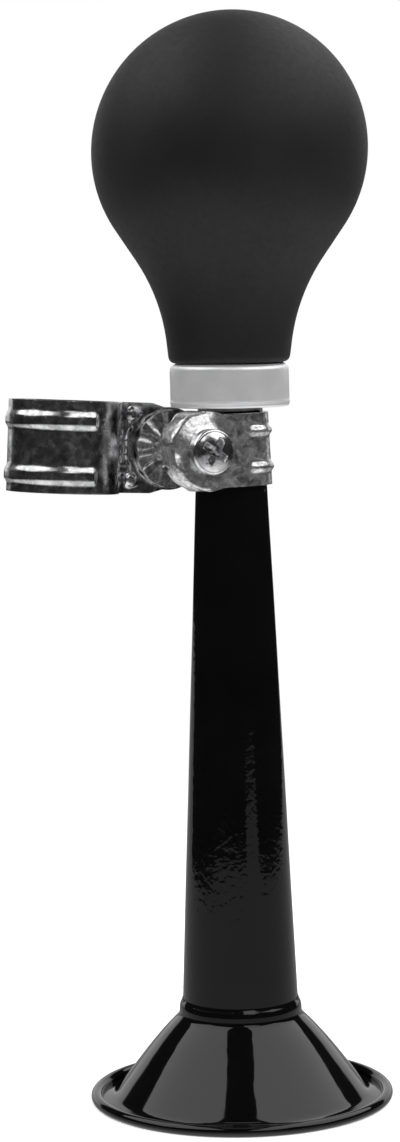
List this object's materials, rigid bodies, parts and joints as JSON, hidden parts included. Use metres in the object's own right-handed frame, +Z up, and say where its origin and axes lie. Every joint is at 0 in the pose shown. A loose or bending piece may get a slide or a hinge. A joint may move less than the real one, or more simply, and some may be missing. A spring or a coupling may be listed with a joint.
{
  "type": "bicycle bulb horn",
  "caption": "Squeeze-bulb bicycle horn: rubber bulb on a straight tapered tube with a flared bell, and a swivelling handlebar clamp.",
  "frame": {"origin": "centre of the bell's mouth, on the plane of the rim that the horn stands on", "axes": "+Z up along the horn's axis towards the bulb, -X from the horn towards the handlebar clamp, -Y along the clamp screw towards its head"},
  "size_m": [0.0821, 0.0672, 0.2394],
  "materials": {
    "bulb_rubber": "matte",
    "collar_aluminium": "satin",
    "black_enamel": "gloss",
    "plated_steel": "bright plated",
    "zinc_hardware": "bright",
    "turned_brass": "turned",
    "tinned_ferrule": "satin"
  },
  "bodies": {
    "horn": {"horn_tube": "black_enamel", "horn_bell": "black_enamel", "throat_socket": "tinned_ferrule", "bulb_collar": "collar_aluminium", "reed_holder": "turned_brass", "reed_shallot": "turned_brass", "reed_ring": "turned_brass"},
    "bulb": {"squeeze_bulb": "bulb_rubber"},
    "reed": {"reed_tongue": "turned_brass"},
    "strap": {"tube_strap": "plated_steel"},
    "clamp": {"handlebar_clamp": "plated_steel", "flat_washer": "zinc_hardware", "lock_washer": "zinc_hardware"},
    "screw": {"clamp_screw": "zinc_hardware"},
    "nut": {"clamp_nut": "zinc_hardware"}
  },
  "joints": [
    {"name": "bulb_squeeze", "type": "slide", "parent": "horn", "child": "bulb", "axis": [0, 0, -1], "range_m": [0, 0.026], "stiffness_N_per_m": 1000, "deforming": ["squeeze_bulb"]},
    {"name": "reed_beat", "type": "hinge", "parent": "horn", "child": "reed", "pos_m": [0.00118, 0, 0.1664], "axis": [0, 1, 0], "range_deg": [-1.4, 1], "stiffness_Nm_per_rad": 0.02},
    {"name": "strap_turn", "type": "hinge", "parent": "horn", "child": "strap", "pos_m": [0, 0, 0.1448], "axis": [0, 0, 1], "continuous": true},
    {"name": "clamp_swivel", "type": "hinge", "parent": "strap", "child": "clamp", "pos_m": [-0.01047, 0, 0.1448], "axis": [0, 1, 0], "range_deg": [-45, 12]},
    {"name": "screw_turn", "type": "hinge", "parent": "strap", "child": "screw", "pos_m": [-0.01047, 0, 0.1448], "axis": [0, 1, 0], "range_deg": [-1440, 0]},
    {"name": "nut_travel", "type": "slide", "parent": "strap", "child": "nut", "axis": [0, 1, 0], "range_m": [0, 0.0032]}
  ],
  "couplings": [
    {"joint": "screw_turn", "follows": "nut_travel", "rad_per_m": -7854}
  ]
}
